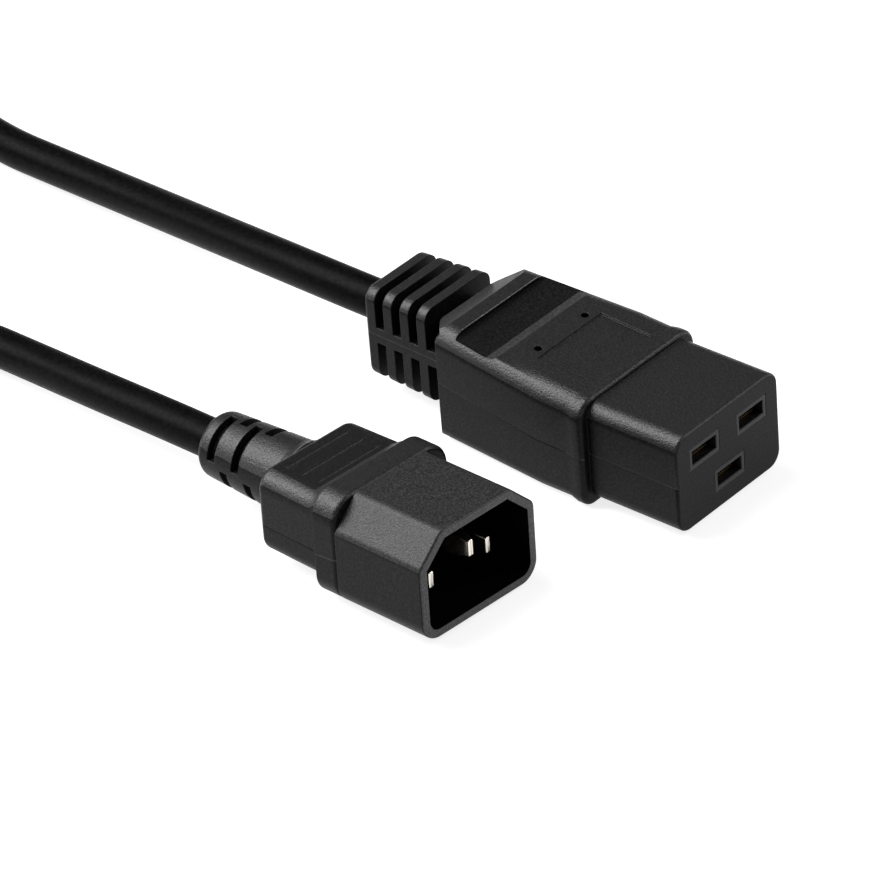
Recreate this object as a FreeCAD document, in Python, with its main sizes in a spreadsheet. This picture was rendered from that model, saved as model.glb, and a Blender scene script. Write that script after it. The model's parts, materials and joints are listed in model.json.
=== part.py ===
import FreeCAD, Part
import math
import os
import Sketcher

# Moulded power cord: a socket connector with three flat slots, a plug with three flat blades
# inside a shroud, and the round cord between them, most of it put away as a tied coil.
# Millimetres. +X is the way the socket faces, +Z is up, and the floor is z = 0.
# The origin is on the floor, at the middle of the socket connector's length.

Vector = FreeCAD.Vector
Rotation = FreeCAD.Rotation
Placement = FreeCAD.Placement

SIZES = {
    # cord: three 1 mm2 cores in a round jacket
    "cord_diameter": 7.5,
    "core_diameter": 2.5,
    "core_circle": 1.45,
    "strand_diameter": 1.3,
    "jacket_clearance": 0.05,
    "core_straight": 5.0,
    # socket connector: the nose that goes into an inlet
    "nose_length": 19.5,
    "nose_width": 28.3,
    "nose_height": 19.5,
    "nose_drop": 0.15,
    "nose_corner": 3.0,
    # socket connector: the shell behind the nose
    "nose_edge": 0.5,
    "lip_length": 5.0,
    "lip_land": 2.2,
    "lip_flare": 0.45,
    "lip_round": 0.9,
    "lip_sink": 0.2,
    "shell_length": 38.8,
    "shell_front_width": 31.0,
    "shell_rear_width": 27.0,
    "shell_rear_run": 5.4,
    "shell_straight_length": 10.7,
    "shell_rear_flat": 14.0,
    "shell_bottom": 10.8,
    "shell_front_top": 10.4,
    "shell_rear_top": 12.3,
    "shoulder_length": 5.1,
    "shoulder_drop": 2.4,
    "shell_top_corner": 3.8,
    "shell_bottom_corner": 2.8,
    "shell_rear_corner": 5.0,
    # socket connector: thumb recess, panel and ejector holes on the top
    "recess_start": 40.1,
    "recess_length": 10.2,
    "recess_ramp": 1.4,
    "recess_depth": 0.95,
    "recess_width": 27.3,
    "recess_shift": 0.65,
    "recess_near_corner": 3.0,
    "recess_far_corner": 1.0,
    "panel_start": 23.4,
    "panel_length": 11.2,
    "panel_width": 17.4,
    "panel_depth": 0.25,
    "pip_diameter": 1.5,
    "pip_spacing": 12.9,
    "pip_position": 36.3,
    "pip_depth": 2.0,
    # socket connector: ribbed strain relief
    "relief_length": 16.7,
    "relief_width": 17.0,
    "relief_height": 18.4,
    "relief_growth": 0.7,
    "relief_corner": 2.5,
    "relief_end_corner": 0.8,
    "relief_axis": 1.65,
    "jacket_axis": 2.45,
    "relief_root": 54.8,
    "groove_width": 2.0,
    "groove_pitch": 4.05,
    "groove_count": 4,
    "spine_height": 3.1,
    "spine_middle": 2.0,
    "relief_core_width": 10.4,
    "relief_core_height": 10.4,
    # socket connector: slots, sleeves and contacts
    "slot_spacing": 13.0,
    "slot_row_spacing": 8.0,
    "slot_width": 6.6,
    "slot_height": 2.7,
    "slot_lead": 1.6,
    "sleeve_width": 8.2,
    "sleeve_height": 4.5,
    "sleeve_length": 19.5,
    "chamber_width": 7.2,
    "chamber_height": 3.5,
    "insert_width": 24.0,
    "insert_height": 14.5,
    "insert_plate": 4.5,
    "contact_gap": 1.9,
    "contact_leaf": 0.5,
    "contact_width": 6.2,
    "contact_length": 15.0,
    "contact_clearance": 0.3,
    "barrel_diameter": 3.2,
    "barrel_length": 8.5,
    "crimp_depth": 5.5,
    "strand_bare": 1.2,
    "socket_jacket_grip": 17.0,
    # plug: hard shroud around the blades
    "shroud_length": 19.9,
    "shroud_width": 28.2,
    "shroud_height": 20.2,
    "shroud_wall": 1.7,
    "shroud_corner": 4.0,
    "shroud_edge": 2.0,
    "shroud_rim_round": 0.4,
    "shroud_chamfer_width": 5.7,
    "shroud_chamfer_height": 5.4,
    "shroud_floor": 3.4,
    "root_width": 22.0,
    "root_height": 14.0,
    "root_length": 6.5,
    # plug: blades
    "blade_spacing": 14.0,
    "blade_row_spacing": 4.0,
    "blade_row_height": 2.15,
    "blade_thickness": 2.0,
    "blade_height": 4.0,
    "blade_setback": 4.5,
    "earth_setback": 1.65,
    "blade_tip_bevel": 0.7,
    # plug: moulded flange, grip and strain relief
    "flange_length": 5.1,
    "flange_overlap": 0.05,
    "flange_foot": 0.25,
    "flange_top_corner": 5.0,
    "flange_bottom_corner": 4.6,
    "flange_edge": 0.9,
    "grip_length": 15.4,
    "grip_front_width": 25.2,
    "grip_rear_width": 24.3,
    "grip_top": 7.9,
    "grip_bottom": 8.0,
    "grip_ramp": 3.4,
    "grip_ramp_rise": 2.0,
    "grip_top_corner": 3.6,
    "grip_bottom_corner": 3.0,
    "grip_rear_edge": 1.4,
    "line_depth": 0.2,
    "line_breadth": 0.35,
    "line_length": 15.4,
    "line_pitch": 3.75,
    "line_count": 3,
    "line_start": 3.2,
    "sleeve_root_diameter": 14.6,
    "sleeve_tip_diameter": 12.1,
    "sleeve_relief_length": 21.6,
    "sleeve_tip_round": 1.6,
    "ring_slot_width": 1.9,
    "ring_slot_pitch": 6.15,
    "ring_slot_stagger": 3.08,
    "ring_slot_first": 3.1,
    "ring_slot_floor": 9.4,
    "ring_slot_angle": 91.0,
    "ring_slot_lean_angle": 40.0,
    "plug_jacket_grip": 12.0,
    "plug_core_straight": 2.5,
    # where the plug lies: its rim's middle, and how it is turned
    "plug_forward": 23.15,
    "plug_aside": -49.85,
    "plug_yaw": -2.96,
    "plug_pitch": 1.26,
    "plug_roll": -2.17,
    # put-away coil and its ties
    "coil_middle_radius": 40.5,
    "coil_column_count": 3,
    "coil_layer_count": 2,
    "coil_corner": 2.5,
    "coil_stub": 31.0,
    "coil_behind": 231.0,
    "coil_aside": 28.0,
    "exit_straight": 6.0,
    "tie_thickness": 0.9,
    "tie_width": 12.0,
    "tie_clearance": 0.1,
}

doc = FreeCAD.newDocument("PowerCord")
sheet = doc.addObject("Spreadsheet::Sheet", "Sizes")
for row, (alias, value) in enumerate(SIZES.items(), start=1):
    sheet.set("A%d" % row, alias)
    sheet.set("B%d" % row, str(value))
    sheet.setAlias("B%d" % row, alias)
doc.recompute()


def size(alias):
    """The number in a cell of the sheet."""
    return float(getattr(sheet, alias))


def cell(alias):
    """The cell's name as an expression writes it."""
    return "Sizes." + alias


def new_body(label):
    body = doc.addObject("PartDesign::Body", label)
    body.Label = label
    return body


def origin_plane(body, role):
    for feature in body.Origin.OriginFeatures:
        if feature.Role == role:
            return feature
    raise ValueError("no plane " + role)


def new_sketch(body, role, name, offset=None, turn=None):
    """A sketch on one of the body's own planes, moved along that plane's normal by an expression."""
    sketch = body.newObject("Sketcher::SketchObject", name)
    sketch.AttachmentSupport = [(origin_plane(body, role), "")]
    sketch.MapMode = "FlatFace"
    if turn is not None:
        sketch.AttachmentOffset = Placement(Vector(), Rotation(Vector(1, 0, 0), turn))
    if offset is not None:
        sketch.setExpression("AttachmentOffset.Base.z", offset)
    return sketch


def pin_point(sketch, geometry, end, across, up):
    """Ties a point of the sketch to two expressions, measured from the sketch's origin."""
    for kind, text in (("DistanceX", across), ("DistanceY", up)):
        value = evaluate(text)
        if value < 0:
            index = sketch.addConstraint(Sketcher.Constraint(kind, geometry, end, -1, 1, -value))
            sketch.setExpression("Constraints[%d]" % index, "-(%s)" % text)
        else:
            index = sketch.addConstraint(Sketcher.Constraint(kind, -1, 1, geometry, end, value))
            sketch.setExpression("Constraints[%d]" % index, text)


def evaluate(text):
    """The number that an expression over the sheet gives now."""
    return float(sheet.evalExpression(text.replace("Sizes.", "")))


def add_outline(sketch, corners):
    """A closed outline of straight lines through corners that are pairs of expressions."""
    points = [Vector(evaluate(across), evaluate(up), 0) for across, up in corners]
    first = sketch.GeometryCount
    count = len(points)
    for index in range(count):
        sketch.addGeometry(Part.LineSegment(points[index], points[(index + 1) % count]), False)
    for index in range(count):
        follower = first + (index + 1) % count
        sketch.addConstraint(Sketcher.Constraint("Coincident", first + index, 2, follower, 1))
    for index, (across, up) in enumerate(corners):
        pin_point(sketch, first + index, 1, across, up)


def add_rectangle(sketch, left, right, bottom, top):
    add_outline(sketch, [(left, bottom), (right, bottom), (right, top), (left, top)])


def add_circle(sketch, across, up, diameter):
    middle = Vector(evaluate(across), evaluate(up), 0)
    circle = Part.Circle(middle, Vector(0, 0, 1), evaluate(diameter) / 2)
    index = sketch.addGeometry(circle, False)
    pin_point(sketch, index, 3, across, up)
    rule = sketch.addConstraint(Sketcher.Constraint("Diameter", index, evaluate(diameter)))
    sketch.setExpression("Constraints[%d]" % rule, diameter)


def pad(body, sketch, length, midplane=False, backwards=False):
    feature = body.newObject("PartDesign::Pad", sketch.Name + "Pad")
    feature.Profile = sketch
    feature.setExpression("Length", length)
    feature.Midplane = midplane
    feature.Reversed = backwards
    sketch.Visibility = False
    doc.recompute()
    return feature


def pocket(body, sketch, length, midplane=False, backwards=False):
    """A cut of the sketch's outline, with a stop if it takes nothing away."""
    before = body.Shape.Volume
    feature = body.newObject("PartDesign::Pocket", sketch.Name + "Pocket")
    feature.Profile = sketch
    feature.setExpression("Length", length)
    feature.Midplane = midplane
    feature.Reversed = backwards
    doc.recompute()
    if not body.Shape.Volume < before:
        raise ValueError("pocket cuts nothing: " + sketch.Name)
    return feature


def repeat_along_x(body, name, originals, spacing, count, backwards=True):
    pattern = body.newObject("PartDesign::LinearPattern", name)
    pattern.Originals = originals
    pattern.Direction = (axis_of(body, "X_Axis"), [""])
    pattern.Reversed = backwards
    pattern.Mode = "Spacing"
    pattern.setExpression("Offset", spacing)
    pattern.setExpression("Occurrences", count)
    body.Tip = pattern
    doc.recompute()
    return pattern


def axis_of(body, role):
    for feature in body.Origin.OriginFeatures:
        if feature.Role == role:
            return feature
    raise ValueError("no axis " + role)


def round_edges(body, radius, wanted, name):
    """Fillets the edges of the body's last feature that the test picks."""
    doc.recompute()
    last = body.Tip
    names = []
    for index, edge in enumerate(last.Shape.Edges, start=1):
        if wanted(edge):
            names.append("Edge%d" % index)
    if not names:
        raise ValueError("no edges to round: " + name)
    feature = body.newObject("PartDesign::Fillet", name)
    feature.Base = (last, names)
    feature.setExpression("Radius", radius)
    doc.recompute()
    return feature


def ends_of(edge):
    return [vertex.Point for vertex in edge.Vertexes]


def direction_of(edge):
    points = ends_of(edge)
    if len(points) < 2:
        return Vector()
    along = points[-1].sub(points[0])
    return along.normalize() if along.Length > 1e-6 else Vector()


def middle_of(edge):
    return edge.CenterOfMass


def is_close(first, second, slack=0.02):
    return abs(first - second) < slack


def tube_along(points, radius, report=None):
    """A round tube along straight runs joined by the largest tangent arcs the runs allow."""
    fill = 0.45
    edges = []
    start = points[0]
    for before, corner, after in zip(points, points[1:], points[2:]):
        back = before.sub(corner)
        ahead = after.sub(corner)
        turn = math.pi - back.getAngle(ahead)
        reach = fill * min(back.Length, ahead.Length)
        bend = reach / math.tan(turn / 2)
        if report is not None:
            report.append((math.degrees(turn), bend))
        back.normalize()
        ahead.normalize()
        enter = corner.add(Vector(back).multiply(reach))
        leave = corner.add(Vector(ahead).multiply(reach))
        inward = Vector(back).add(ahead).normalize()
        bulge = bend / math.cos(turn / 2) - bend
        top = corner.add(inward.multiply(bulge))
        edges.append(Part.LineSegment(start, enter).toShape())
        edges.append(Part.Arc(enter, top, leave).toShape())
        start = leave
    edges.append(Part.LineSegment(start, points[-1]).toShape())
    path = Part.Wire(edges)
    heading = points[1].sub(points[0])
    ring = Part.Wire(Part.makeCircle(radius, points[0], heading))
    tube = path.makePipeShell([ring], True, False)
    ideal = math.pi * radius ** 2 * path.Length
    if abs(tube.Volume - ideal) > 0.01 * ideal:
        raise ValueError("tube volume is off")
    return tube, path.Length


def new_solid(label, shape, placement=None):
    """A sub-part whose shape is worked out here from the sheet."""
    feature = doc.addObject("Part::Feature", label)
    feature.Label = label
    feature.Shape = shape
    feature.Placement = placement if placement is not None else Placement()
    return feature


def cut_out(label, base, tools):
    """The base with every tool's volume taken away."""
    tool = tools[0]
    if len(tools) > 1:
        tool = doc.addObject("Part::MultiFuse", label + "_hollow")
        tool.Shapes = tools
    result = doc.addObject("Part::Cut", label)
    result.Label = label
    result.Base = base
    result.Tool = tool
    doc.recompute()
    return result


# Socket connector, in its own frame: x = 0 at the front face, z = 0 midway between the slot rows
def shell_top(behind):
    """Height of the shell's sloping top at a distance behind the front face, as an expression."""
    rise = "(Sizes.shell_rear_top - Sizes.shell_front_top)"
    run = "(Sizes.shell_length - Sizes.shoulder_length)"
    return "(Sizes.shell_front_top + (%s - Sizes.nose_length) * %s / %s)" % (behind, rise, run)


SHELL_REAR = "(Sizes.nose_length + Sizes.shell_length)"
RELIEF_REAR = "(Sizes.nose_length + Sizes.shell_length + Sizes.relief_length)"
ROOM_ABOVE = "(Sizes.shell_rear_top + Sizes.nose_height)"


def build_shell(body):
    side = new_sketch(body, "XZ_Plane", "ShellSide")
    shoulder = "(%s - Sizes.shoulder_length)" % SHELL_REAR
    add_outline(side, [
        ("-" + cell("nose_length"), "-" + cell("shell_bottom")),
        ("-" + cell("nose_length"), cell("shell_front_top")),
        ("-" + shoulder, cell("shell_rear_top")),
        ("-" + SHELL_REAR, "Sizes.shell_rear_top - Sizes.shoulder_drop"),
        ("-" + SHELL_REAR, "-" + cell("shell_bottom")),
    ])
    pad(body, side, cell("shell_front_width"), midplane=True)
    plan = new_sketch(body, "XY_Plane", "ShellPlan")
    front = "Sizes.nose_length"
    taper = "(Sizes.nose_length + Sizes.shell_straight_length)"
    corner = "(%s - Sizes.shell_rear_run)" % SHELL_REAR
    outside = "Sizes.shell_front_width"
    for sign in ("", "-"):
        add_outline(plan, [
            ("-" + taper, sign + "(Sizes.shell_front_width / 2)"),
            ("-" + corner, sign + "(Sizes.shell_rear_width / 2)"),
            ("-" + SHELL_REAR, sign + "(Sizes.shell_rear_flat / 2)"),
            ("-(%s + Sizes.shell_rear_corner)" % SHELL_REAR, sign + "(Sizes.shell_rear_flat / 2)"),
            ("-(%s + Sizes.shell_rear_corner)" % SHELL_REAR, sign + outside),
            ("-" + taper, sign + outside),
        ])
    pocket(body, plan, ROOM_ABOVE + " * 2", midplane=True)
    behind = evaluate(SHELL_REAR)
    round_edges(body, cell("shell_rear_corner"), lambda edge: (
        is_close(abs(direction_of(edge).z), 1) and is_close(middle_of(edge).x, -behind)), "ShellRearRound")
    round_edges(body, cell("shell_top_corner"), is_top_side_edge, "ShellTopRound")
    round_edges(body, cell("shell_bottom_corner"), is_bottom_side_edge, "ShellBottomRound")


def is_side_edge(edge):
    """Whether an edge runs lengthwise and away from the middle plane."""
    return abs(direction_of(edge).x) > 0.8 and min(abs(point.y) for point in ends_of(edge)) > 1


def is_top_side_edge(edge):
    return is_side_edge(edge) and min(point.z for point in ends_of(edge)) > 1


def is_bottom_side_edge(edge):
    return is_side_edge(edge) and max(point.z for point in ends_of(edge)) < -1


def is_end_edge(edge, where):
    """Whether an edge lies in the plane across the part at x = -where."""
    return is_close(edge.BoundBox.XMin, -where, 0.05) and is_close(edge.BoundBox.XMax, -where, 0.05)


def add_rounded_block(body, name, width, bottom, top, corner, front, length):
    """A block with four rounded long edges, from a distance behind the face backwards."""
    sketch = new_sketch(body, "YZ_Plane", name, offset="-(%s)" % front)
    add_rounded_rectangle(sketch, width, bottom, top, corner)
    return pad(body, sketch, length, backwards=True)


def add_rounded_rectangle(sketch, width, bottom, top, corner, top_corner=None):
    """A rectangle with four tangent corner arcs, its sizes bound to expressions."""
    top_corner = top_corner or corner
    half = evaluate(width) / 2
    low = evaluate(bottom)
    high = evaluate(top)
    below = evaluate(corner)
    above = evaluate(top_corner)
    arcs = [(half - above, high - above, above), (above - half, high - above, above),
            (below - half, low + below, below), (half - below, low + below, below)]
    first = sketch.GeometryCount
    for quarter, (across, up, radius) in enumerate(arcs):
        start = quarter * math.pi / 2
        circle = Part.Circle(Vector(across, up, 0), Vector(0, 0, 1), radius)
        sketch.addGeometry(Part.ArcOfCircle(circle, start, start + math.pi / 2), False)
    for quarter in range(4):
        arc = sketch.Geometry[first + quarter]
        follower = sketch.Geometry[first + (quarter + 1) % 4]
        sketch.addGeometry(Part.LineSegment(arc.EndPoint, follower.StartPoint), False)
    for quarter in range(4):
        line = first + 4 + quarter
        follower = first + (quarter + 1) % 4
        sketch.addConstraint(Sketcher.Constraint("Tangent", first + quarter, 2, line, 1))
        sketch.addConstraint(Sketcher.Constraint("Tangent", line, 2, follower, 1))
    for leader, text in ((first, top_corner), (first + 2, corner)):
        sketch.addConstraint(Sketcher.Constraint("Equal", leader, leader + 1))
        rule = sketch.addConstraint(Sketcher.Constraint("Radius", leader, evaluate(text)))
        sketch.setExpression("Constraints[%d]" % rule, text)
    sketch.addConstraint(Sketcher.Constraint("Horizontal", first + 4))
    sketch.addConstraint(Sketcher.Constraint("Vertical", first + 5))
    pin_point(sketch, first, 3, "(%s) / 2 - (%s)" % (width, top_corner), "(%s) - (%s)" % (top, top_corner))
    pin_point(sketch, first + 2, 3, "(%s) - (%s) / 2" % (corner, width), "(%s) + (%s)" % (bottom, corner))


def add_lip(body):
    """The shell's front end: it flares a little towards a short straight land with a rounded front edge."""
    front = new_sketch(body, "YZ_Plane", "LipFront", offset="-(Sizes.nose_length + Sizes.lip_land)")
    rear = new_sketch(body, "YZ_Plane", "LipRear", offset="-(Sizes.nose_length + Sizes.lip_length)")
    land = new_sketch(body, "YZ_Plane", "LipLand", offset="-" + cell("nose_length"))
    flared = "(Sizes.shell_front_width + 2 * Sizes.lip_flare)"
    for sketch in (land, front):
        add_rounded_rectangle(sketch, flared, "-(Sizes.shell_bottom + Sizes.lip_flare / 2)",
                              "Sizes.shell_front_top + Sizes.lip_flare / 2",
                              cell("shell_bottom_corner"), cell("shell_top_corner"))
    sunk_top = shell_top("(Sizes.nose_length + Sizes.lip_length)") + " - Sizes.lip_sink"
    add_rounded_rectangle(rear, "(Sizes.shell_front_width - 2 * Sizes.lip_sink)",
                          "-(Sizes.shell_bottom - Sizes.lip_sink)", sunk_top,
                          cell("shell_bottom_corner"), cell("shell_top_corner"))
    loft = body.newObject("PartDesign::AdditiveLoft", "Lip")
    loft.Profile = front
    loft.Sections = [rear]
    loft.Ruled = True
    doc.recompute()
    pad(body, land, cell("lip_land"), backwards=True)
    where = size("nose_length")
    round_edges(body, cell("lip_round"), lambda edge: is_end_edge(edge, where), "LipRound")


def cut_recess(body):
    """The thumb recess: a steep rear wall, a short front ramp, and a floor that runs out at the near side."""
    tool = doc.addObject("PartDesign::Body", "recess_tool")
    start = cell("recess_start")
    ramp_foot = "(Sizes.recess_start + Sizes.recess_ramp)"
    rear = "(Sizes.recess_start + Sizes.recess_length)"
    depth = " - Sizes.recess_depth"
    side = new_sketch(tool, "XZ_Plane", "ThumbRecess", offset=cell("recess_shift"))
    add_outline(side, [
        ("-" + start, shell_top(start)),
        ("-" + ramp_foot, shell_top(ramp_foot) + depth),
        ("-" + rear, shell_top(rear) + depth),
        ("-" + rear, ROOM_ABOVE),
        ("-" + start, ROOM_ABOVE),
    ])
    pad(tool, side, cell("recess_width"), midplane=True)
    behind = evaluate(rear)
    for name, radius, sign in (("Near", "recess_near_corner", -1), ("Far", "recess_far_corner", 1)):
        round_edges(tool, cell(radius), lambda edge, sign=sign: (
            is_end_edge(edge, behind)
            and is_close(abs(direction_of(edge).z), 1)
            and middle_of(edge).y * sign > 1), "Recess" + name + "Round")
    take = body.newObject("PartDesign::Boolean", "TakeRecess")
    take.Type = "Cut"
    take.setObjects([tool])
    doc.recompute()


def cut_panel(body):
    """The shallow panel and the two blind holes on the top."""
    front = cell("panel_start")
    back = "(Sizes.panel_start + Sizes.panel_length)"
    sunk = " - Sizes.panel_depth"
    panel = new_sketch(body, "XZ_Plane", "Panel")
    add_outline(panel, [
        ("-" + front, shell_top(front) + sunk),
        ("-" + back, shell_top(back) + sunk),
        ("-" + back, ROOM_ABOVE),
        ("-" + front, ROOM_ABOVE),
    ])
    pocket(body, panel, cell("panel_width"), midplane=True)
    pips = new_sketch(body, "XY_Plane", "Pips", offset=ROOM_ABOVE)
    for sign in ("", "-"):
        add_circle(pips, "-" + cell("pip_position"), sign + "(Sizes.pip_spacing / 2)", cell("pip_diameter"))
    pocket(body, pips, ROOM_ABOVE + " - " + shell_top(cell("pip_position")) + " + Sizes.pip_depth")


def add_block_relief(body):
    """The ribbed strain relief: a tapered block grooved from above and below, with a spine left each side."""
    tip = new_sketch(body, "YZ_Plane", "ReliefTip", offset="-" + RELIEF_REAR)
    root = new_sketch(body, "YZ_Plane", "ReliefRoot", offset="-" + cell("relief_root"))
    for sketch, growth in ((tip, "0"), (root, "Sizes.relief_growth")):
        low = "Sizes.relief_axis - Sizes.relief_height / 2 - %s" % growth
        high = "Sizes.relief_axis + Sizes.relief_height / 2 + %s" % growth
        add_rounded_rectangle(sketch, "(Sizes.relief_width + 2 * %s)" % growth, low, high, cell("relief_corner"))
    loft = body.newObject("PartDesign::AdditiveLoft", "Relief")
    loft.Profile = tip
    loft.Sections = [root]
    loft.Ruled = True
    doc.recompute()
    behind = evaluate(RELIEF_REAR)
    round_edges(body, cell("relief_end_corner"), lambda edge: is_end_edge(edge, behind), "ReliefEndRound")
    cuts = []
    wide = "Sizes.relief_width"
    core = "(Sizes.relief_core_width / 2)"
    for name, sign in (("GrooveAbove", "+"), ("GrooveBelow", "-")):
        edge = "(Sizes.spine_middle %s Sizes.spine_height / 2)" % sign
        floor = "(Sizes.spine_middle %s Sizes.relief_core_height / 2)" % sign
        far = "(Sizes.spine_middle %s Sizes.relief_height)" % sign
        groove = new_sketch(body, "YZ_Plane", name, offset="-" + SHELL_REAR)
        add_outline(groove, [
            ("-" + wide, edge), ("-" + core, edge), ("-" + core, floor), (core, floor),
            (core, edge), (wide, edge), (wide, far), ("-" + wide, far),
        ])
        cuts.append(pocket(body, groove, cell("groove_width"), backwards=False))
    repeat_along_x(body, "Grooves", cuts, cell("groove_pitch"), cell("groove_count"))


def build_socket_blank():
    """The socket connector's moulding as one solid, before the inner pieces are taken out of it."""
    body = new_body("socket_blank")
    build_shell(body)
    add_lip(body)
    add_rounded_block(body, "Nose", cell("nose_width"), "-(Sizes.nose_height / 2 + Sizes.nose_drop)",
                      "(Sizes.nose_height / 2 - Sizes.nose_drop)", cell("nose_corner"), "0",
                      "Sizes.nose_length + Sizes.lip_length")
    round_edges(body, cell("nose_edge"), lambda edge: is_end_edge(edge, 0), "NoseFrontRound")
    cut_recess(body)
    cut_panel(body)
    add_block_relief(body)
    return body


CONTACTS = (("line", -1, 1), ("neutral", 1, 1), ("earth", 0, -1))


def slot_centre(side, row):
    """Across and up of one slot, as expressions."""
    across = {-1: "-(Sizes.slot_spacing / 2)", 1: "Sizes.slot_spacing / 2", 0: "0"}[side]
    up = "Sizes.slot_row_spacing / 2" if row > 0 else "-(Sizes.slot_row_spacing / 2)"
    return across, up


def add_slot_rectangles(sketch, width, height):
    for _, side, row in CONTACTS:
        across, up = slot_centre(side, row)
        add_rectangle(sketch, "%s - %s / 2" % (across, width), "%s + %s / 2" % (across, width),
                      "%s - %s / 2" % (up, height), "%s + %s / 2" % (up, height))


def build_insert_blank():
    """Outside of the contact carrier: three sleeves in front of a plate."""
    body = new_body("insert_blank")
    plate = new_sketch(body, "YZ_Plane", "Plate", offset="-" + cell("sleeve_length"))
    add_rectangle(plate, "-(Sizes.insert_width / 2)", "Sizes.insert_width / 2",
                  "-(Sizes.insert_height / 2)", "Sizes.insert_height / 2")
    pad(body, plate, cell("insert_plate"), backwards=True)
    sleeves = new_sketch(body, "YZ_Plane", "Sleeves")
    add_slot_rectangles(sleeves, cell("sleeve_width"), cell("sleeve_height"))
    pad(body, sleeves, "Sizes.sleeve_length + Sizes.insert_plate / 2", backwards=True)
    return body


def build_chambers():
    """The three slots, each opening out behind the face into the room for its contact."""
    body = new_body("chambers")
    rooms = new_sketch(body, "YZ_Plane", "Rooms", offset="-" + cell("slot_lead"))
    add_slot_rectangles(rooms, cell("chamber_width"), cell("chamber_height"))
    pad_loose(body, rooms, "Sizes.sleeve_length + Sizes.insert_plate")
    slots = new_sketch(body, "YZ_Plane", "Slots")
    add_slot_rectangles(slots, cell("slot_width"), cell("slot_height"))
    pad_loose(body, slots, "Sizes.slot_lead * 2")
    return body


def pad_loose(body, sketch, length):
    body.AllowCompound = True
    return pad(body, sketch, length, backwards=True)


def contact_rear():
    """Distance behind the front face of a contact's crimp end."""
    return (size("slot_lead") + size("contact_clearance") + size("contact_length")
            + size("barrel_length"))


def build_contact(name, side, row, placement):
    """A folded strip with two spring leaves and a crimp barrel."""
    body = new_body("socket_contact_" + name)
    front = "(Sizes.slot_lead + Sizes.contact_clearance)"
    rear = "(%s + Sizes.contact_length)" % front
    gap = "(Sizes.contact_gap / 2)"
    outer = "(Sizes.contact_gap / 2 + Sizes.contact_leaf)"
    leaves = new_sketch(body, "XZ_Plane", "Leaves")
    add_outline(leaves, [
        ("-" + front, gap), ("-" + front, outer), ("-" + rear, outer), ("-" + rear, "-" + outer),
        ("-" + front, "-" + outer), ("-" + front, "-" + gap),
        ("-(%s - 2 * Sizes.contact_leaf)" % rear, "-" + gap), ("-(%s - 2 * Sizes.contact_leaf)" % rear, gap),
    ])
    pad(body, leaves, cell("contact_width"), midplane=True)
    barrel = new_sketch(body, "YZ_Plane", "Barrel", offset="-(%s - Sizes.contact_leaf)" % rear)
    add_circle(barrel, "0", "0", cell("barrel_diameter"))
    pad(body, barrel, "Sizes.barrel_length + Sizes.contact_leaf", backwards=True)
    mouth = new_sketch(body, "YZ_Plane", "Mouth", offset="-(%s + Sizes.barrel_length)" % rear)
    add_circle(mouth, "0", "0", cell("strand_diameter"))
    pocket(body, mouth, cell("crimp_depth"), backwards=True)
    across, up = slot_centre(side, row)
    body.Placement = placement.multiply(Placement(Vector(0, evaluate(across), evaluate(up)), Rotation()))
    return body


def build_cores(prefix, ends, crimp, jacket_end, reach, axis_height, placement, earth_side):
    """Bare strand ends and insulated cores, each from its crimp to its place inside the jacket.

    The first end is the earth's, which lies above the others when earth_side is 1, or below them when it is -1.
    """
    strands = []
    cores = []
    for index, (name, across, up) in enumerate(ends):
        strand = doc.addObject("Part::Cylinder", "%s_strand_%s" % (prefix, name))
        strand.Label = "%s_strand_%s" % (prefix, name)
        strand.setExpression("Radius", "Sizes.strand_diameter / 2")
        strand.setExpression("Height", "Sizes.crimp_depth + Sizes.strand_bare")
        start = crimp + size("strand_bare")
        spot = Placement(Vector(-start, across, up), Rotation(Vector(0, 1, 0), 90))
        strand.Placement = placement.multiply(spot)
        strands.append(strand)
        turn = math.radians(earth_side * (90 + 120 * index))
        y = size("core_circle") * math.cos(turn)
        z = axis_height + size("core_circle") * math.sin(turn)
        points = [Vector(-start, across, up), Vector(-start - reach, across, up),
                  Vector(reach - jacket_end, y, z), Vector(-jacket_end, y, z)]
        shape, _ = tube_along(points, size("core_diameter") / 2)
        cores.append(new_solid("%s_core_%s" % (prefix, name), shape, placement))
    return strands, cores


def jacket_bore(name, end, grip, axis_height, placement):
    """The room for the end of the cord's jacket inside a strain relief."""
    bore = doc.addObject("Part::Cylinder", name)
    bore.setExpression("Radius", "Sizes.cord_diameter / 2 + Sizes.jacket_clearance")
    bore.setExpression("Height", "(%s) * 2" % grip)
    middle = Vector(-end - evaluate(grip), 0, axis_height)
    bore.Placement = placement.multiply(Placement(middle, Rotation(Vector(0, 1, 0), 90)))
    return bore


def socket_placement():
    """The connector lies on its lip, with the middle of its length over the origin."""
    height = size("shell_bottom") + size("lip_flare") / 2
    return Placement(Vector(evaluate(RELIEF_REAR) / 2, 0, height), Rotation())


def build_socket():
    placement = socket_placement()
    blank = build_socket_blank()
    insert = build_insert_blank()
    chambers = build_chambers()
    for body in (blank, insert, chambers):
        body.Placement = placement
    carrier = cut_out("socket_contact_carrier", insert, [chambers])
    contacts = [build_contact(name, side, row, placement) for name, side, row in CONTACTS]
    ends = []
    for name, side, row in CONTACTS:
        across, up = slot_centre(side, row)
        ends.append((name, evaluate(across), evaluate(up)))
    ends = [ends[2], ends[0], ends[1]]
    jacket_end = evaluate(RELIEF_REAR) - size("socket_jacket_grip")
    level = size("jacket_axis")
    reach = size("core_straight")
    strands, cores = build_cores("socket", ends, contact_rear(), jacket_end, reach, level, placement, -1)
    bore = jacket_bore("socket_bore", evaluate(RELIEF_REAR), cell("socket_jacket_grip"), level, placement)
    overmould = cut_out("socket_overmould", blank, [insert, bore] + contacts + strands + cores)
    return [overmould, carrier] + contacts + strands + cores


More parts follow.
